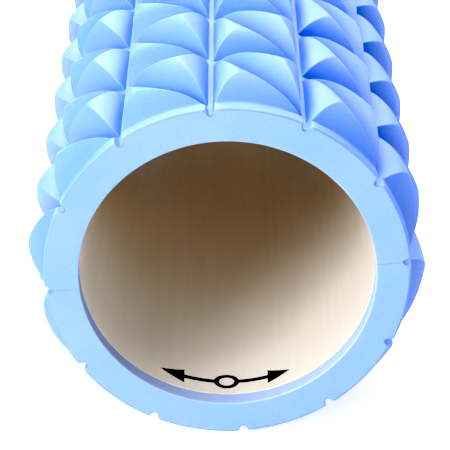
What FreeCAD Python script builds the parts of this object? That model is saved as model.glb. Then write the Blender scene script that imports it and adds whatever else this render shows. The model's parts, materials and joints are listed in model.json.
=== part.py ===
import FreeCAD, Part
import math
import os

# A massage roller: a hard hollow core tube in a sleeve of two moulded foam half shells, which
# are glued to the tube and to each other. Millimetres. The roller's axis runs along Y, +Z is up,
# and the origin is on the surface the roller lies on, under its middle. Angles about the axis
# are in degrees, clockwise from the top as seen from the -Y end.

# Whole roller
LENGTH = 330.0
TIP_RADIUS = 70.0            # the tips of the pyramids

# Foam sleeve
COLUMNS = 12                 # cells round the sleeve, parted by straight lengthwise grooves
ROWS = 8                     # cells along the sleeve
END_STRIP = 5.0              # plain strip between the first row and the end face
GROOVE_RADIUS = 61.0         # floor of the grooves
STRIP_RADIUS = 63.2          # outside of the end strips
SHOULDER_RADIUS = 63.6       # top of the groove walls between pyramids
BROW_RADIUS = 67.9           # where a pyramid's faces turn flatter
ROOT_RADIUS = 59.0           # foot of a pyramid, sunk in the sleeve's wall
ROOT_SHARE = 0.96            # size of a pyramid's triangle at each level, as a share of its half cell
SHOULDER_SHARE = 0.78
BROW_SHARE = 0.42
TIP_INSET = 0.293            # a tip's distance from the sides of its half cell, in cells
GROOVE_TOP_WIDTH = 4.0       # across a groove where it parts the end strip
GROOVE_FLOOR_WIDTH = 2.2

# Core tube
CORE_OUTER_RADIUS = 55.0
CORE_WALL = 3.8
CORE_RECESS = 6.0            # how far the tube's ends lie inside the foam's end faces
CORE_CHAMFER = 0.6

# Glue
FILM_THICKNESS = 0.3         # between the tube and the foam
SEAM_THICKNESS = 0.3         # between the two half shells
SEAM_SINK = 0.2              # the seam's glue stays this far below the surfaces it would show on

# Printed mark on the tube's inner wall: a ring with an arrow pointing away from it on each side
MARK_DEPTH = 8.5             # its middle's distance from the tube's -Y end
MARK_MIDDLE = -5.0           # and from the bottom of the bore, towards +X
MARK_LENGTH = 46.0
MARK_RING_RADIUS = 4.5
MARK_HOLE_RADIUS = 2.8
MARK_HEAD = 8.0
MARK_HEAD_WIDTH = 8.4
MARK_SHAFT_WIDTH = 2.0
MARK_THICKNESS = 0.15

COLUMN_ANGLE = 360.0 / COLUMNS
ROW_PITCH = (LENGTH - 2 * END_STRIP) / ROWS
NEAR_END = -LENGTH / 2
FAR_END = LENGTH / 2
CORE_INNER_RADIUS = CORE_OUTER_RADIUS - CORE_WALL
FOAM_INNER_RADIUS = CORE_OUTER_RADIUS + FILM_THICKNESS
AXIS_HEIGHT = TIP_RADIUS * math.cos(math.radians(TIP_INSET * COLUMN_ANGLE))
ALONG = FreeCAD.Vector(0, 1, 0)


def on_roller(radius, angle, y):
    """The point at a radius and an angle about the roller's axis."""
    turn = math.radians(angle)
    return FreeCAD.Vector(radius * math.sin(turn), y, AXIS_HEIGHT + radius * math.cos(turn))


def arc(radius, start, end, y):
    """An arc about the roller's axis."""
    return Part.Arc(
        on_roller(radius, start, y), on_roller(radius, (start + end) / 2, y), on_roller(radius, end, y)
    ).toShape()


def segment(inner, outer, middle, inner_half, outer_half, near, far):
    """A length of curved wall, from y near to y far, reaching the two half angles each side of middle."""
    start = Part.makeLine(on_roller(inner, middle - inner_half, near), on_roller(outer, middle - outer_half, near))
    end = Part.makeLine(on_roller(outer, middle + outer_half, near), on_roller(inner, middle + inner_half, near))
    outline = Part.Wire([
        start,
        arc(outer, middle - outer_half, middle + outer_half, near),
        end,
        arc(inner, middle + inner_half, middle - inner_half, near),
    ])
    return Part.Face(outline).extrude(ALONG * (far - near))


def half_turn(radius):
    """Half the angle of a half shell whose flat sides stop half a glue line short of its middle plane."""
    return 90 - math.degrees(math.asin(SEAM_THICKNESS / 2 / radius))


def half_ring(inner, outer, middle, near, far):
    """Half a tube wall, centred on the angle middle."""
    return segment(inner, outer, middle, half_turn(inner), half_turn(outer), near, far)


def strip_block(column, near, far):
    """One column's block of an end strip, with a groove's sloping wall on each side."""
    slope = (GROOVE_TOP_WIDTH - GROOVE_FLOOR_WIDTH) / 2 / (STRIP_RADIUS - GROOVE_RADIUS)
    top_half_width = GROOVE_TOP_WIDTH / 2
    root_half_width = top_half_width - slope * (STRIP_RADIUS - ROOT_RADIUS)
    return segment(
        ROOT_RADIUS,
        STRIP_RADIUS,
        (column + 0.5) * COLUMN_ANGLE,
        COLUMN_ANGLE / 2 - math.degrees(root_half_width / ROOT_RADIUS),
        COLUMN_ANGLE / 2 - math.degrees(top_half_width / STRIP_RADIUS),
        near,
        far,
    )


def triangle(points):
    return Part.Face(Part.makePolygon(points + points[:1]))


def pyramid(column, row, corners, tip):
    """A three-sided pyramid on half a cell. Corners and tip are in cells, from the cell's first corner."""

    def place(share, radius):
        ring = []
        for across, along in corners:
            u = column + tip[0] + share * (across - tip[0])
            v = row + tip[1] + share * (along - tip[1])
            ring.append(on_roller(radius, u * COLUMN_ANGLE, NEAR_END + END_STRIP + v * ROW_PITCH))
        return ring

    levels = [
        place(ROOT_SHARE, ROOT_RADIUS),
        place(SHOULDER_SHARE, SHOULDER_RADIUS),
        place(BROW_SHARE, BROW_RADIUS),
    ]
    top = place(0, TIP_RADIUS)[0]
    faces = [triangle(levels[0])]
    for lower, upper in zip(levels, levels[1:]):
        for i in range(3):
            j = (i + 1) % 3
            faces.append(triangle([lower[i], lower[j], upper[j]]))
            faces.append(triangle([lower[i], upper[j], upper[i]]))
    for i in range(3):
        faces.append(triangle([levels[-1][i], levels[-1][(i + 1) % 3], top]))
    solid = Part.Solid(Part.Shell(faces))
    if solid.Volume < 0:
        solid.reverse()
    return solid


def cell_pyramids(column, row):
    """The two pyramids of a cell, parted by a groove from its far left to its near right corner."""
    low = pyramid(column, row, [(0, 0), (1, 0), (0, 1)], (TIP_INSET, TIP_INSET))
    high = pyramid(column, row, [(1, 1), (0, 1), (1, 0)], (1 - TIP_INSET, 1 - TIP_INSET))
    return [low, high]


def foam_half(middle):
    """A half shell of the sleeve: its wall, a lip over each end of the tube, end strips and pyramids."""
    lip_start = NEAR_END + CORE_RECESS
    lip_end = FAR_END - CORE_RECESS
    wall = half_ring(FOAM_INNER_RADIUS, GROOVE_RADIUS, middle, lip_start, lip_end)
    near_lip = half_ring(CORE_INNER_RADIUS, GROOVE_RADIUS, middle, NEAR_END, lip_start)
    far_lip = half_ring(CORE_INNER_RADIUS, GROOVE_RADIUS, middle, lip_end, FAR_END)
    strip_width = END_STRIP + GROOVE_TOP_WIDTH / 2
    raised = []
    first = round(middle / COLUMN_ANGLE) - COLUMNS // 4
    for column in range(first, first + COLUMNS // 2):
        raised.append(strip_block(column, NEAR_END, NEAR_END + strip_width))
        raised.append(strip_block(column, FAR_END - strip_width, FAR_END))
        for row in range(ROWS):
            raised += cell_pyramids(column, row)
    return wall.multiFuse([near_lip, far_lip] + raised).removeSplitter()


def core_tube():
    """The tube, with its end edges broken."""
    start = FreeCAD.Vector(0, NEAR_END + CORE_RECESS, AXIS_HEIGHT)
    length = LENGTH - 2 * CORE_RECESS
    outside = Part.makeCylinder(CORE_OUTER_RADIUS, length, start, ALONG)
    tube = outside.cut(Part.makeCylinder(CORE_INNER_RADIUS, length, start, ALONG))
    round_edges = [e for e in tube.Edges if isinstance(e.Curve, Part.Circle)]
    return tube.makeChamfer(CORE_CHAMFER, round_edges)


def adhesive_film(middle):
    return half_ring(
        CORE_OUTER_RADIUS, FOAM_INNER_RADIUS, middle, NEAR_END + CORE_RECESS, FAR_END - CORE_RECESS
    )


def seam_glue(side):
    """The glue between the half shells, on the +X side for side 1 and the -X side for side -1."""
    length = LENGTH - 2 * SEAM_SINK
    depth = GROOVE_RADIUS - SEAM_SINK - FOAM_INNER_RADIUS
    sheet = Part.makeBox(depth, length, SEAM_THICKNESS, FreeCAD.Vector(FOAM_INNER_RADIUS, -length / 2, 0))
    lip_length = CORE_RECESS - SEAM_SINK
    lip_depth = FOAM_INNER_RADIUS - CORE_INNER_RADIUS - SEAM_SINK
    for y in (-length / 2, length / 2 - lip_length):
        corner = FreeCAD.Vector(FOAM_INNER_RADIUS - lip_depth, y, 0)
        sheet = sheet.fuse(Part.makeBox(lip_depth, lip_length, SEAM_THICKNESS, corner))
    sheet = sheet.removeSplitter()
    sheet.translate(FreeCAD.Vector(0, 0, AXIS_HEIGHT - SEAM_THICKNESS / 2))
    if side < 0:
        sheet = sheet.mirror(FreeCAD.Vector(0, 0, 0), FreeCAD.Vector(1, 0, 0))
    return sheet


def printed_mark():
    """A thin layer of ink on the bottom of the tube's inner wall."""
    end = MARK_LENGTH / 2
    neck = end - MARK_HEAD
    head = MARK_HEAD_WIDTH / 2
    shaft = MARK_SHAFT_WIDTH / 2
    quarter = [(neck, shaft), (neck, head)]
    right = quarter + [(end, 0)] + [(x, -y) for x, y in reversed(quarter)]
    left = [(-x, -y) for x, y in right]
    points = [FreeCAD.Vector(x, y, 0) for x, y in right + left]
    up = FreeCAD.Vector(0, 0, AXIS_HEIGHT)
    stamp = Part.Face(Part.makePolygon(points + points[:1])).extrude(up)
    stamp = stamp.fuse(Part.makeCylinder(MARK_RING_RADIUS, AXIS_HEIGHT))
    stamp = stamp.cut(Part.makeCylinder(MARK_HOLE_RADIUS, AXIS_HEIGHT))
    stamp.translate(FreeCAD.Vector(MARK_MIDDLE, NEAR_END + CORE_RECESS + MARK_DEPTH, 0))
    start = FreeCAD.Vector(0, NEAR_END + CORE_RECESS, AXIS_HEIGHT)
    depth = 2 * MARK_DEPTH
    ink = Part.makeCylinder(CORE_INNER_RADIUS, depth, start, ALONG).cut(
        Part.makeCylinder(CORE_INNER_RADIUS - MARK_THICKNESS, depth, start, ALONG)
    )
    return ink.common(stamp).removeSplitter()


os.makedirs("parts", exist_ok=True)
pieces = {
    "core_tube": core_tube(),
    "foam_half_upper": foam_half(0),
    "foam_half_lower": foam_half(180),
    "adhesive_film_upper": adhesive_film(0),
    "adhesive_film_lower": adhesive_film(180),
    "seam_glue_right": seam_glue(1),
    "seam_glue_left": seam_glue(-1),
    "printed_mark": printed_mark(),
}
for name, shape in pieces.items():
    print(name, "valid" if shape.isValid() else "NOT VALID", len(shape.Solids), "solid,", round(shape.Volume), "mm3")
    shape.exportStep(f"parts/{name}.step")
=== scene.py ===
import json
import math

import bmesh
import bpy
import numpy as np
from mathutils import Euler, Matrix, Vector, noise


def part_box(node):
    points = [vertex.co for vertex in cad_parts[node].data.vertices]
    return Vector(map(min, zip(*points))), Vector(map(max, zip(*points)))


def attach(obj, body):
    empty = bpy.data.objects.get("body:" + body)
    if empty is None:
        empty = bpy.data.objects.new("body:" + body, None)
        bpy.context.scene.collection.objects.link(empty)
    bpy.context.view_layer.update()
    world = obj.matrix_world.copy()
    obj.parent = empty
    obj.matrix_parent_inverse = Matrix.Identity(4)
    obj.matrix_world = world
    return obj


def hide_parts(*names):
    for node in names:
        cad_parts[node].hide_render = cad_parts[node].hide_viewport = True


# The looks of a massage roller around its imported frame. Metres, and radians unless a comment says
# degrees. The roller's axis runs along Y, and angles about it go clockwise from the top as seen
# from the -Y end.

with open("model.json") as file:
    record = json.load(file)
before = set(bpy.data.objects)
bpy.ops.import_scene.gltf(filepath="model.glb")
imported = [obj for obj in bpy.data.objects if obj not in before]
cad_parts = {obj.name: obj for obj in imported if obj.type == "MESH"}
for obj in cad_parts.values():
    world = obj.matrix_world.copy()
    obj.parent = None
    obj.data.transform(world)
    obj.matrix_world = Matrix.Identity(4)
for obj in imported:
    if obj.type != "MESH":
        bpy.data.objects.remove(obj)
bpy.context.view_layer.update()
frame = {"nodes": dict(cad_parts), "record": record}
core_bore = next(mount for mount in frame["record"]["mounts"] if mount["name"] == "core_bore")

# Sizes that the frame gives
AXIS_HEIGHT = core_bore["pos_m"][2]
BORE_RADIUS = core_bore["dims"]["r_mm"] / 1000
HALF_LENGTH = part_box("foam_half_upper")[1].y
CORE_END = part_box("core_tube")[1].y
FOAM_INNER_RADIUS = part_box("adhesive_film_upper")[1].x
CORE_RECESS = HALF_LENGTH - CORE_END
NEAR_MOUTH = (0, -HALF_LENGTH, AXIS_HEIGHT)

# The sleeve's pattern, as the frame was designed. Columns and rows part it into cells, and a
# diagonal groove parts each cell into two half cells with a pyramid on each.
COLUMNS = 12
ROWS = 8
TIP_INSET = 0.293              # a tip's distance from the sides of its half cell, in cells
END_STRIP = 0.005
GROOVE_RADIUS = 0.061
STRIP_RADIUS = 0.0632
SHELL_COLUMNS = COLUMNS // 2
COLUMN_ANGLE = 2 * math.pi / COLUMNS
ROW_PITCH = 2 * (HALF_LENGTH - END_STRIP) / ROWS
TIP_RADIUS = AXIS_HEIGHT / math.cos(TIP_INSET * COLUMN_ANGLE)

# The moulded surface's finer shape
FLOOR_SHARE = 0.09             # half a groove's flat floor, as a share of the way to the tip
RIDGE_BLEND = 0.0003           # height over which two faces blend at a ridge
RIM_RADIUS = 0.0007            # rounding of the end face's outer edge
BORE_EDGE_RADIUS = 0.0003      # rounding of the end face's inner edge
SEAM_HALF_GAP = 0.00004        # the soft half shells close over the sunken glue, down to a hairline
SEAM_DROP = 0.00012            # the foam's end face dips this much at the seam
UNEVENNESS = 0.00014           # how far the outside wanders
UNEVENNESS_SCALE = 45          # how finely it wanders: noise cells in a metre
UNEVEN_FROM = 0.058            # the radius where the wander starts
UNEVEN_RANGE = 0.006           # the height over which it grows to its full size
UNEVENNESS_SEED = 5            # without a seed, the wander differs from run to run

# Mesh density: distances from a side's corners, and rings from a half cell's edge (0) to its tip (1)
CORNER_STEPS = [0.0, 0.0005, 0.0011, 0.0017, 0.0023, 0.0034]
MIDDLE_STEPS = 3
RING_LEVELS = [0.0, 0.05, 0.09, 0.115, 0.15, 0.20, 0.26, 0.33, 0.42, 0.52, 0.63, 0.74, 0.85, 0.93, 0.975]

# Mesh density of an end: shares of the strip's width, the end face's height and the lip's depth
STRIP_SHARES = [0.88, 0.7, 0.45, 0.2]
FACE_SHARES = [0.97, 0.9, 0.75, 0.5, 0.25, 0.08, 0.0]
LIP_SHARES = [0.3, 0.65, 1.0]
RIM_TURNS = np.radians([0, 30, 60, 90])      # angles round the end face's rounded edges
BORE_EDGE_TURNS = RIM_TURNS[1:]

WELD_DISTANCE = 2e-6
SEAM_TOLERANCE = 1e-6          # a point this near to the seam's plane lies on it
SHARP_ANGLE = math.radians(42)

# Places of the foam's materials on a shell
SKIN = 0
CUT = 1
LIP = 2

# Colours, wear with painted highlights, and painted shade. Texture scales are in cells per metre.
BLOTCH_SCALE = 38
SPECK_EDGE = 0.042             # a speck's radius on the texture's distance scale
SPECK_CORE = 0.6               # the share of that radius where it is fully dark
SPECK_TINT = (0.25, 0.35, 0.6)
# Sharp ridges turn paler: partly rubbed wear, partly a painted highlight along their rounded edges.
RIDGE_BLUE = (0.42, 0.56, 0.84)
RIDGE_WEAR_AND_HIGHLIGHT = 0.5               # how much of that blue a sharp ridge takes, as rubbed wear and a painted highlight
RIDGE_START = 0.52             # the foam turns paler between these measures of a ridge's sharpness
RIDGE_END = 0.60
SEAM_MARGIN = 0.0015           # the wear and painted highlight are full from this distance to the seam's plane on
MARGIN_FADE = 0.7              # and there is none within this share of that distance
PAINTED_SHADE_START = 0.35             # painted shade deep in the bore: the core turns from brown to cream between these distances from its middle, as shares of the roller's half length
PAINTED_SHADE_END = 0.75               # middle, as shares of the roller's half length
WHITE = (1, 1, 1)
BLACK = (0, 0, 0)

# The stage. Powers are in watts.
FLOOR_HALF_SIZE = 15
FLOOR_DROP = 0.0002            # keeps the floor clear of the roller's lowest points
FLOOR_GLOW = 0.72
WORLD_STRENGTH = 0.42
BLACK_POINT = 0.098            # light below this shows as black, as in a contrasty print
FRONT_LEFT = (-1.0, -1.1, 0.9)
CAMERA_FROM_MOUTH = (0.028, -0.585, 0.3195)
CAMERA_YAW = math.radians(-2.64)
CAMERA_PITCH = math.radians(27.08)
CAMERA_ROLL = math.radians(-5.98)
LENS_MM = 155.4


# The foam's shape

def side_fractions():
    """Where the points of one side lie, from corner to corner: dense near both corners."""
    width = STRIP_RADIUS * COLUMN_ANGLE
    start = [step / width for step in CORNER_STEPS]
    inner = np.linspace(start[-1], 0.5, MIDDLE_STEPS + 2)[1:]
    first_half = start + list(inner)
    return np.array(first_half + [1 - f for f in reversed(first_half[:-1])])


def face_rise(share):
    """Height of a face, from 0 at the groove's floor to 1 at the tip: steep, then flatter."""
    t = np.clip(share, 0, 1)
    return 0.25 * t + 0.50 * (1 - (1 - t) ** 2) + 0.25 * (1 - (1 - t) ** 6)


def groove_side(level):
    """Radius of a face beside a groove, at a level from 0 in the groove's middle to 1 at the tip."""
    rise = face_rise((level - FLOOR_SHARE) / (1 - FLOOR_SHARE))
    return GROOVE_RADIUS + (TIP_RADIUS - GROOVE_RADIUS) * rise


def strip_side(level):
    """Radius of a face that rises from the plain end strip."""
    t = np.clip(level, 0, 1)
    return STRIP_RADIUS + (TIP_RADIUS - STRIP_RADIUS) * (0.5 * t + 0.5 * (1 - (1 - t) ** 2))


def soft_min(a, b):
    """The smaller of two radii, blended where they are close."""
    closeness = np.clip(1 - np.abs(a - b) / RIDGE_BLEND, 0, 1)
    return np.minimum(a, b) - RIDGE_BLEND / 4 * closeness ** 2


def half_cell_radius(u, v, by_strip):
    """Radius over the half cell with corners (0, 0), (1, 0) and (0, 1).

    by_strip says that its v = 0 side is the end strip, not a groove.
    """
    along = strip_side(v / TIP_INSET) if by_strip else groove_side(v / TIP_INSET)
    across = groove_side(u / TIP_INSET)
    diagonal = groove_side((1 - u - v) / (1 - 2 * TIP_INSET))
    radius = soft_min(soft_min(along, across), diagonal)
    return np.maximum(radius, GROOVE_RADIUS)


def half_cell(by_strip):
    """Points (u, v, radius) and faces of one pyramid on the half cell with its right angle at (0, 0)."""
    corners = np.array([[0, 0], [1, 0], [0, 1]], float)
    tip = np.array([TIP_INSET, TIP_INSET])
    fractions = side_fractions()[:-1]
    edge = []
    for i in range(3):
        start = corners[i]
        end = corners[(i + 1) % 3]
        edge.append(start + fractions[:, None] * (end - start))
    edge = np.concatenate(edge)
    rings = [tip + (1 - level) * (edge - tip) for level in RING_LEVELS]
    points = np.concatenate(rings + [tip[None]])
    radius = half_cell_radius(points[:, 0], points[:, 1], by_strip)
    count = len(edge)
    here = np.arange(count)
    following = (here + 1) % count
    faces = []
    for ring in range(len(RING_LEVELS) - 1):
        low = ring * count
        high = low + count
        faces += list(np.stack([low + here, low + following, high + following, high + here], 1))
    last = (len(RING_LEVELS) - 1) * count
    faces += list(np.stack([last + here, last + following, np.full(count, last + count)], 1))
    return np.column_stack([points, radius]), faces


def to_frame(angle, y, radius):
    """Points in the frame from cylinder coordinates about the roller's axis."""
    return np.stack([radius * np.sin(angle), y, AXIS_HEIGHT + radius * np.cos(angle)], -1)


class Patchwork:
    """Vertices and faces gathered from patches that share edges, with a material number for each face."""

    def __init__(self):
        self.points = []
        self.faces = []
        self.materials = []
        self.count = 0

    def add(self, points, faces, material):
        self.points.append(points)
        for face in faces:
            self.faces.append([self.count + int(i) for i in face])
            self.materials.append(material)
        self.count += len(points)


def add_pyramids(patchwork, first_column):
    """The two pyramids of each cell in a half shell's columns."""
    templates = {by_strip: half_cell(by_strip) for by_strip in (False, True)}
    for column in range(first_column, first_column + SHELL_COLUMNS):
        for row in range(ROWS):
            for turned in (False, True):
                by_strip = row == (ROWS - 1 if turned else 0)
                points, faces = templates[by_strip]
                u, v, radius = points.T
                if turned:
                    u = 1 - u
                    v = 1 - v
                angle = (column + u) * COLUMN_ANGLE
                y = END_STRIP - HALF_LENGTH + (row + v) * ROW_PITCH
                patchwork.add(to_frame(angle, y, radius), faces, SKIN)


def end_rings(u, at_pyramids):
    """Rings of one end, from the pyramids over the strip, the end face and the lip to the inner wall.

    u is the place across a column of every point on a ring, and at_pyramids is the first ring's
    radius. Each ring is its distance in from the end plane, its radius at every point, and the
    material of the band between it and the ring before.
    """
    notch = soft_min(groove_side(u / TIP_INSET), groove_side((1 - u) / TIP_INSET))
    strip = np.clip(soft_min(notch, np.full_like(u, STRIP_RADIUS)), GROOVE_RADIUS, None)
    rings = [(END_STRIP, at_pyramids, SKIN)]
    for share in STRIP_SHARES:
        rings.append((END_STRIP * share, strip, SKIN))
    for turn in RIM_TURNS:
        inwards = RIM_RADIUS * (1 - math.sin(turn))
        rings.append((inwards, strip - RIM_RADIUS * (1 - math.cos(turn)), SKIN))
    rim = rings[-1][1]
    bore_edge = BORE_RADIUS + BORE_EDGE_RADIUS
    for share in FACE_SHARES:
        rings.append((0.0, bore_edge + share * (rim - bore_edge), CUT))
    for turn in BORE_EDGE_TURNS:
        inwards = BORE_EDGE_RADIUS * (1 - math.cos(turn))
        rings.append((inwards, np.full_like(u, bore_edge - BORE_EDGE_RADIUS * math.sin(turn)), LIP))
    for share in LIP_SHARES:
        rings.append((CORE_RECESS * share, np.full_like(u, BORE_RADIUS), LIP))
    rings.append((CORE_RECESS, np.full_like(u, FOAM_INNER_RADIUS), CUT))
    return rings


def add_ends_and_inside(patchwork, first_column):
    """The end strips, end faces, lips and inner wall, as one band swept round the half shell's angle."""
    fractions = side_fractions()
    steps = len(fractions) - 1
    u = np.append(np.tile(fractions[:-1], SHELL_COLUMNS), 1.0)
    column = np.append(np.repeat(np.arange(SHELL_COLUMNS), steps), SHELL_COLUMNS - 1)
    angle = (first_column + column + u) * COLUMN_ANGLE
    foot = np.zeros_like(u)
    near = end_rings(u, half_cell_radius(u, foot, True))
    far = end_rings(u, half_cell_radius(1 - u, foot, True))
    inner_wall = np.full_like(u, FOAM_INNER_RADIUS)
    rings = [(inwards - HALF_LENGTH, radius) for inwards, radius, _ in near]
    rings += [(y, inner_wall) for y in np.linspace(-CORE_END, CORE_END, ROWS + 1)[1:-1]]
    rings += [(HALF_LENGTH - inwards, radius) for inwards, radius, _ in reversed(far)]
    circles = [to_frame(angle, np.full_like(u, y), radius) for y, radius in rings]
    end_materials = [material for _, _, material in near[1:]]
    inside_materials = [CUT] * (len(circles) - 1 - 2 * len(end_materials))
    count = len(u)
    here = np.arange(count - 1)
    faces = np.stack([here, here + 1, here + 1 + count, here + count], 1)
    for i, material in enumerate(end_materials + inside_materials + end_materials[::-1]):
        patchwork.add(np.concatenate([circles[i], circles[i + 1]]), faces, material)


def unevenness(point):
    """A small wander of the moulded outside, fading to nothing inwards. The end faces stay flat."""
    radius = math.hypot(point.x, point.z - AXIS_HEIGHT)
    weight = min(max((radius - UNEVEN_FROM) / UNEVEN_RANGE, 0.0), 1.0)
    wander = noise.noise_vector(point * UNEVENNESS_SCALE) * UNEVENNESS * weight
    if HALF_LENGTH - abs(point.y) < END_STRIP:
        wander.y = 0
    return wander


def settle(verts, side):
    """Makes a half shell's points a little uneven, and presses it against the other at the seams."""
    split = AXIS_HEIGHT + side * SEAM_HALF_GAP
    for vert in verts:
        at_seam = side * (vert.co.z - AXIS_HEIGHT) < SEAM_TOLERANCE
        vert.co += unevenness(vert.co)
        if at_seam:
            vert.co.z = split
            if abs(vert.co.y) > HALF_LENGTH - RIM_RADIUS:
                vert.co.y -= math.copysign(SEAM_DROP, vert.co.y)
        elif side * (vert.co.z - split) < 0:
            vert.co.z = split


def foam_shell(name, first_column, side):
    """A half shell of the sleeve. side is 1 for the upper half and -1 for the lower."""
    patchwork = Patchwork()
    add_pyramids(patchwork, first_column)
    add_ends_and_inside(patchwork, first_column)
    mesh = bpy.data.meshes.new(name)
    mesh.from_pydata(np.concatenate(patchwork.points).tolist(), [], patchwork.faces)
    mesh.polygons.foreach_set("material_index", patchwork.materials)
    work = bmesh.new()
    work.from_mesh(mesh)
    bmesh.ops.remove_doubles(work, verts=work.verts, dist=WELD_DISTANCE)
    settle(work.verts, side)
    open_edges = [edge for edge in work.edges if edge.is_boundary]
    bmesh.ops.holes_fill(work, edges=open_edges, sides=0)
    bmesh.ops.recalc_face_normals(work, faces=work.faces)
    work.to_mesh(mesh)
    work.free()
    mesh.shade_smooth()
    mesh.set_sharp_from_angle(angle=SHARP_ANGLE)
    shell = bpy.data.objects.new(name, mesh)
    bpy.context.scene.collection.objects.link(shell)
    return shell


# Materials

def new_material(name):
    """A node material with its Principled shader: (material, nodes, links, shader)."""
    material = bpy.data.materials.new(name)
    material.use_nodes = True
    nodes = material.node_tree.nodes
    return material, nodes, material.node_tree.links, nodes["Principled BSDF"]


def noise_node(nodes, links, scale, detail=2.0, stretch=(1, 1, 1)):
    """A noise texture in object space, with its own stretch: the node."""
    place = nodes.new("ShaderNodeTexCoord")
    mapping = nodes.new("ShaderNodeMapping")
    mapping.inputs["Scale"].default_value = stretch
    texture = nodes.new("ShaderNodeTexNoise")
    texture.inputs["Scale"].default_value = scale
    texture.inputs["Detail"].default_value = detail
    links.new(place.outputs["Object"], mapping.inputs["Vector"])
    links.new(mapping.outputs["Vector"], texture.inputs["Vector"])
    return texture


def ramp(nodes, links, source, low, high, low_color, high_color):
    """A colour ramp between two colours, from low to high: its colour output."""
    node = nodes.new("ShaderNodeValToRGB")
    node.color_ramp.elements[0].position = low
    node.color_ramp.elements[0].color = (*low_color, 1)
    node.color_ramp.elements[1].position = high
    node.color_ramp.elements[1].color = (*high_color, 1)
    links.new(source, node.inputs["Fac"])
    return node.outputs["Color"]


def math_node(nodes, links, operation, first, second=None):
    """A math node on one output, or on an output and either another or a number: its output."""
    node = nodes.new("ShaderNodeMath")
    node.operation = operation
    links.new(first, node.inputs[0])
    if isinstance(second, float):
        node.inputs[1].default_value = second
    elif second is not None:
        links.new(second, node.inputs[1])
    return node.outputs[0]


def distance_from(nodes, links, axis, middle, unit):
    """Distance from a plane across one of the frame's axes, in units of a length: the output."""
    place = nodes.new("ShaderNodeTexCoord")
    parts = nodes.new("ShaderNodeSeparateXYZ")
    links.new(place.outputs["Object"], parts.inputs["Vector"])
    offset = math_node(nodes, links, "SUBTRACT", parts.outputs[axis], middle)
    distance = math_node(nodes, links, "ABSOLUTE", offset)
    return math_node(nodes, links, "DIVIDE", distance, unit)


def multiply(nodes, links, first, second):
    """The product of two colour outputs: its output."""
    node = nodes.new("ShaderNodeMix")
    node.data_type = "RGBA"
    node.blend_type = "MULTIPLY"
    node.inputs["Factor"].default_value = 1.0
    links.new(first, node.inputs["A"])
    links.new(second, node.inputs["B"])
    return node.outputs["Result"]


def bump(nodes, links, shader, height, distance, strength):
    """Gives a shader small bumps from a height output."""
    node = nodes.new("ShaderNodeBump")
    node.inputs["Distance"].default_value = distance
    node.inputs["Strength"].default_value = strength
    links.new(height, node.inputs["Height"])
    links.new(node.outputs["Normal"], shader.inputs["Normal"])


def speckled(nodes, links, color, speck_scale):
    """A colour with sparse small dark specks: its output."""
    place = nodes.new("ShaderNodeTexCoord")
    cells = nodes.new("ShaderNodeTexVoronoi")
    cells.inputs["Scale"].default_value = speck_scale
    links.new(place.outputs["Object"], cells.inputs["Vector"])
    distance = cells.outputs["Distance"]
    core = SPECK_EDGE * SPECK_CORE
    mask = ramp(nodes, links, distance, core, SPECK_EDGE, SPECK_TINT, WHITE)
    return multiply(nodes, links, color, mask)


def pale_ridges_wear_and_highlight(nodes, links, color):
    """A colour made paler along sharp ridges, partly as rubbed wear and partly as a painted highlight, but
    not where the half shells meet: its output.
    """
    form = nodes.new("ShaderNodeNewGeometry")
    sharpness = form.outputs["Pointiness"]
    wear_and_highlight = ramp(nodes, links, sharpness, RIDGE_START, RIDGE_END, BLACK, (RIDGE_WEAR_AND_HIGHLIGHT,) * 3)
    from_seam = distance_from(nodes, links, "Z", AXIS_HEIGHT, SEAM_MARGIN)
    off_seam = ramp(nodes, links, from_seam, MARGIN_FADE, 1.0, BLACK, WHITE)
    node = nodes.new("ShaderNodeMix")
    node.data_type = "RGBA"
    node.inputs["B"].default_value = (*RIDGE_BLUE, 1)
    links.new(math_node(nodes, links, "MULTIPLY", wear_and_highlight, off_seam), node.inputs["Factor"])
    links.new(color, node.inputs["A"])
    return node.outputs["Result"]


def foam_material(name, pale, deep, grain_scale, grain_tone, speck_scale, worn_and_highlit=False):
    """EVA foam, blotchy between a pale and a deep blue, grained and with a few specks: (material, shader).

    Its last argument says that its ridges are made paler, partly as rubbed wear and partly as a painted
    highlight.
    """
    material, nodes, links, shader = new_material(name)
    blotches = noise_node(nodes, links, BLOTCH_SCALE, detail=3.0)
    color = ramp(nodes, links, blotches.outputs["Fac"], 0.35, 0.65, deep, pale)
    grain = noise_node(nodes, links, grain_scale)
    tone = ramp(nodes, links, grain.outputs["Fac"], 0.3, 0.7, grain_tone, WHITE)
    color = multiply(nodes, links, color, tone)
    color = speckled(nodes, links, color, speck_scale)
    # paler ridges: rubbed wear and a painted highlight
    if worn_and_highlit:
        color = pale_ridges_wear_and_highlight(nodes, links, color)
    links.new(color, shader.inputs["Base Color"])
    shader.inputs["Subsurface Weight"].default_value = 0.12
    shader.inputs["Subsurface Radius"].default_value = (0.4, 0.7, 1.0)
    shader.inputs["Subsurface Scale"].default_value = 0.0015
    bump(nodes, links, shader, grain.outputs["Fac"], distance=0.00004, strength=0.6)
    return material, shader


def foam_skin():
    """The moulded skin: satin, and a deeper blue than the cut faces."""
    material, shader = foam_material(
        "foam_skin",
        pale=(0.085, 0.172, 0.561),
        deep=(0.069, 0.157, 0.534),
        grain_scale=1000,
        grain_tone=(0.90, 0.92, 0.95),
        speck_scale=150,
        # paler ridges: rubbed wear and a painted highlight
        worn_and_highlit=True,
    )
    shader.inputs["Roughness"].default_value = 0.5
    shader.inputs["Specular IOR Level"].default_value = 0.40
    return material


def foam_cut():
    """The cut end faces: paler and duller than the skin, with fine pores."""
    material, shader = foam_material(
        "foam_cut_face",
        pale=(0.165, 0.268, 0.650),
        deep=(0.149, 0.254, 0.630),
        grain_scale=1400,
        grain_tone=(0.86, 0.89, 0.94),
        speck_scale=170,
    )
    shader.inputs["Roughness"].default_value = 0.6
    return material


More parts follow.
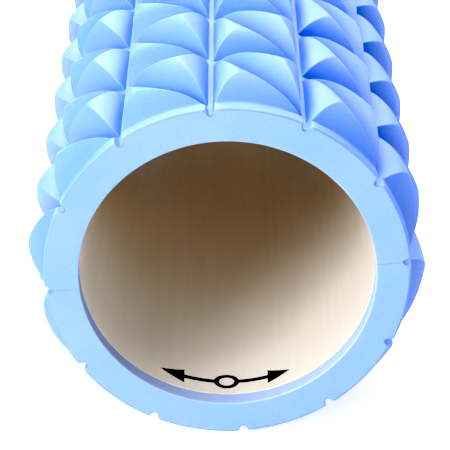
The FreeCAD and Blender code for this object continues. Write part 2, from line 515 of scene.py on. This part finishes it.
def foam_lip():
    """The lips inside the mouths: the foam's own blue with a painted sheen, which makes it paler and greyer
    than the faces beside them.
    """
    material, shader = foam_material(
        "foam_lip",
        # painted sheen: a paler, greyer blue than the foam's own
        pale=(0.268, 0.345, 0.56),
        deep=(0.252, 0.328, 0.54),
        grain_scale=1500,
        grain_tone=(0.92, 0.94, 0.97),
        speck_scale=150,
    )
    shader.inputs["Roughness"].default_value = 0.5
    return material


def core_plastic():
    """Extruded plastic, satin and cream, with faint lines along it; painted shade makes it browner away
    from the tube's ends, deep in the bore.
    """
    material, nodes, links, shader = new_material("core_plastic_extruded")
    cloud = noise_node(nodes, links, 12)
    cream = (0.74, 0.702, 0.64)
    deep_cream = (0.71, 0.672, 0.61)
    color = ramp(nodes, links, cloud.outputs["Fac"], 0.35, 0.65, deep_cream, cream)
    lines = noise_node(nodes, links, 300, detail=3.0, stretch=(1, 0.01, 1))
    tone = ramp(nodes, links, lines.outputs["Fac"], 0.35, 0.65, (0.97, 0.97, 0.96), WHITE)
    color = multiply(nodes, links, color, tone)
    # painted shade: browner towards the tube's middle, where the bore is deep
    from_middle = distance_from(nodes, links, "Y", 0.0, HALF_LENGTH)
    shade = ramp(nodes, links, from_middle, PAINTED_SHADE_START, PAINTED_SHADE_END, (1, 0.91, 0.83), WHITE)
    links.new(multiply(nodes, links, color, shade), shader.inputs["Base Color"])
    shader.inputs["Roughness"].default_value = 0.34
    bump(nodes, links, shader, lines.outputs["Fac"], distance=0.00003, strength=0.5)
    return material


def dried_glue():
    """Contact glue in the seams and under the sleeve: dull grey blue, slightly lumpy."""
    material, nodes, links, shader = new_material("dried_glue")
    lumps = noise_node(nodes, links, 400)
    color = ramp(nodes, links, lumps.outputs["Fac"], 0.3, 0.7, (0.08, 0.20, 0.50), (0.12, 0.28, 0.62))
    links.new(color, shader.inputs["Base Color"])
    shader.inputs["Roughness"].default_value = 0.7
    bump(nodes, links, shader, lumps.outputs["Fac"], distance=0.0001, strength=0.5)
    return material


def printed_ink():
    """Flat black print with a faint grain."""
    material, nodes, links, shader = new_material("printed_ink")
    grain = noise_node(nodes, links, 1200)
    dark = (0.004, 0.004, 0.004)
    light = (0.012, 0.012, 0.013)
    links.new(ramp(nodes, links, grain.outputs["Fac"], 0.3, 0.7, dark, light), shader.inputs["Base Color"])
    shader.inputs["Roughness"].default_value = 0.5
    return material


def floor_material():
    """Plain pale paper that glows a little."""
    material, nodes, links, shader = new_material("pale_floor")
    grain = noise_node(nodes, links, 30)
    color = ramp(nodes, links, grain.outputs["Fac"], 0.3, 0.7, (0.88, 0.88, 0.88), (0.90, 0.90, 0.90))
    links.new(color, shader.inputs["Base Color"])
    shader.inputs["Roughness"].default_value = 0.9
    shader.inputs["Emission Color"].default_value = (*WHITE, 1)
    shader.inputs["Emission Strength"].default_value = FLOOR_GLOW
    return material


# Stage

def add_floor():
    """A large pale floor just under the roller."""
    mesh = bpy.data.meshes.new("floor")
    half = FLOOR_HALF_SIZE
    corners = [(-half, -half, 0), (half, -half, 0), (half, half, 0), (-half, half, 0)]
    mesh.from_pydata(corners, [], [(0, 1, 2, 3)])
    mesh.materials.append(floor_material())
    floor = bpy.data.objects.new("floor", mesh)
    floor.location.z = -FLOOR_DROP
    bpy.context.scene.collection.objects.link(floor)


def add_area_light(name, place, target, width, height, power):
    """A softbox aimed at a point: its object."""
    light = bpy.data.lights.new(name, "AREA")
    light.shape = "RECTANGLE"
    light.size = width
    light.size_y = height
    light.energy = power
    # with this sampling on, lamps with light linking come out too strong
    light.cycles.use_multiple_importance_sampling = False
    lamp = bpy.data.objects.new(name, light)
    lamp.location = place
    lamp.rotation_euler = (Vector(target) - Vector(place)).to_track_quat("-Z", "Y").to_euler()
    lamp.visible_camera = False
    bpy.context.scene.collection.objects.link(lamp)
    return lamp


def add_lights(sleeve):
    """Softboxes in front, above and on the left, and four more that light only the sleeve, not the bore."""
    middle = (0, 0, 0)
    add_area_light("key", FRONT_LEFT, NEAR_MOUTH, width=0.9, height=0.9, power=33.5)
    add_area_light("top", (0.0, 0.1, 1.6), middle, width=1.6, height=1.6, power=20)
    add_area_light("left", (-1.5, 0.2, 0.6), middle, width=1.2, height=1.0, power=6)
    on_sleeve = [
        add_area_light("front_fill", FRONT_LEFT, NEAR_MOUTH, width=1.8, height=1.8, power=42),
        add_area_light("back_high", (0.2, 1.3, 1.5), middle, width=2.4, height=1.6, power=72),
        add_area_light("back_right", (1.2, 1.0, 1.3), middle, width=1.9, height=1.9, power=45),
        add_area_light("back_left", (-0.9, 1.3, 1.3), middle, width=1.9, height=1.9, power=43),
    ]
    sleeve_only = bpy.data.collections.new("sleeve_only")
    for piece in sleeve:
        sleeve_only.objects.link(piece)
    for lamp in on_sleeve:
        lamp.light_linking.receiver_collection = sleeve_only
    bpy.context.scene.cycles.use_light_tree = False   # it leaves white specks beside linked lamps


def add_world():
    """An even white surround."""
    world = bpy.data.worlds.new("studio")
    world.use_nodes = True
    background = world.node_tree.nodes["Background"]
    background.inputs["Color"].default_value = (*WHITE, 1)
    background.inputs["Strength"].default_value = WORLD_STRENGTH
    bpy.context.scene.world = world


def set_view():
    """Plain display of colours, with the black point raised."""
    view = bpy.context.scene.view_settings
    view.view_transform = "Standard"
    view.use_curve_mapping = True
    view.curve_mapping.black_level = (BLACK_POINT,) * 3
    view.curve_mapping.update()


def add_camera():
    """In front of and above the near end, looking down into the bore and slightly tilted."""
    data = bpy.data.cameras.new("camera")
    data.sensor_width = 36
    data.lens = LENS_MM
    data.clip_start = 0.01
    camera = bpy.data.objects.new("camera", data)
    place = Vector(NEAR_MOUTH) + Vector(CAMERA_FROM_MOUTH)
    level = Euler((math.pi / 2 - CAMERA_PITCH, 0, -CAMERA_YAW)).to_matrix()
    aim = level @ Matrix.Rotation(CAMERA_ROLL, 3, "Z")
    camera.matrix_world = Matrix.Translation(place) @ aim.to_4x4()
    bpy.context.scene.collection.objects.link(camera)
    bpy.context.scene.camera = camera


def give_material(node, material):
    """A CAD node's own shape with a finished material."""
    for slot in frame["nodes"][node].material_slots:
        slot.material = material


set_view()
add_floor()
add_camera()

noise.seed_set(UNEVENNESS_SEED)
foam_materials = (foam_skin(), foam_cut(), foam_lip())   # in the order of SKIN, CUT and LIP
quarter = COLUMNS // 4
sleeve = []
for name, first_column, side in (("foam_upper_shell", -quarter, 1), ("foam_lower_shell", quarter, -1)):
    shell = foam_shell(name, first_column, side)
    for material in foam_materials:
        shell.data.materials.append(material)
    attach(shell, "root")
    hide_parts("foam_half_upper" if side > 0 else "foam_half_lower")
    sleeve.append(shell)
add_lights(sleeve)
add_world()

give_material("core_tube", core_plastic())
give_material("printed_mark", printed_ink())
glue = dried_glue()
for node in ("adhesive_film_upper", "adhesive_film_lower", "seam_glue_left", "seam_glue_right"):
    give_material(node, glue)
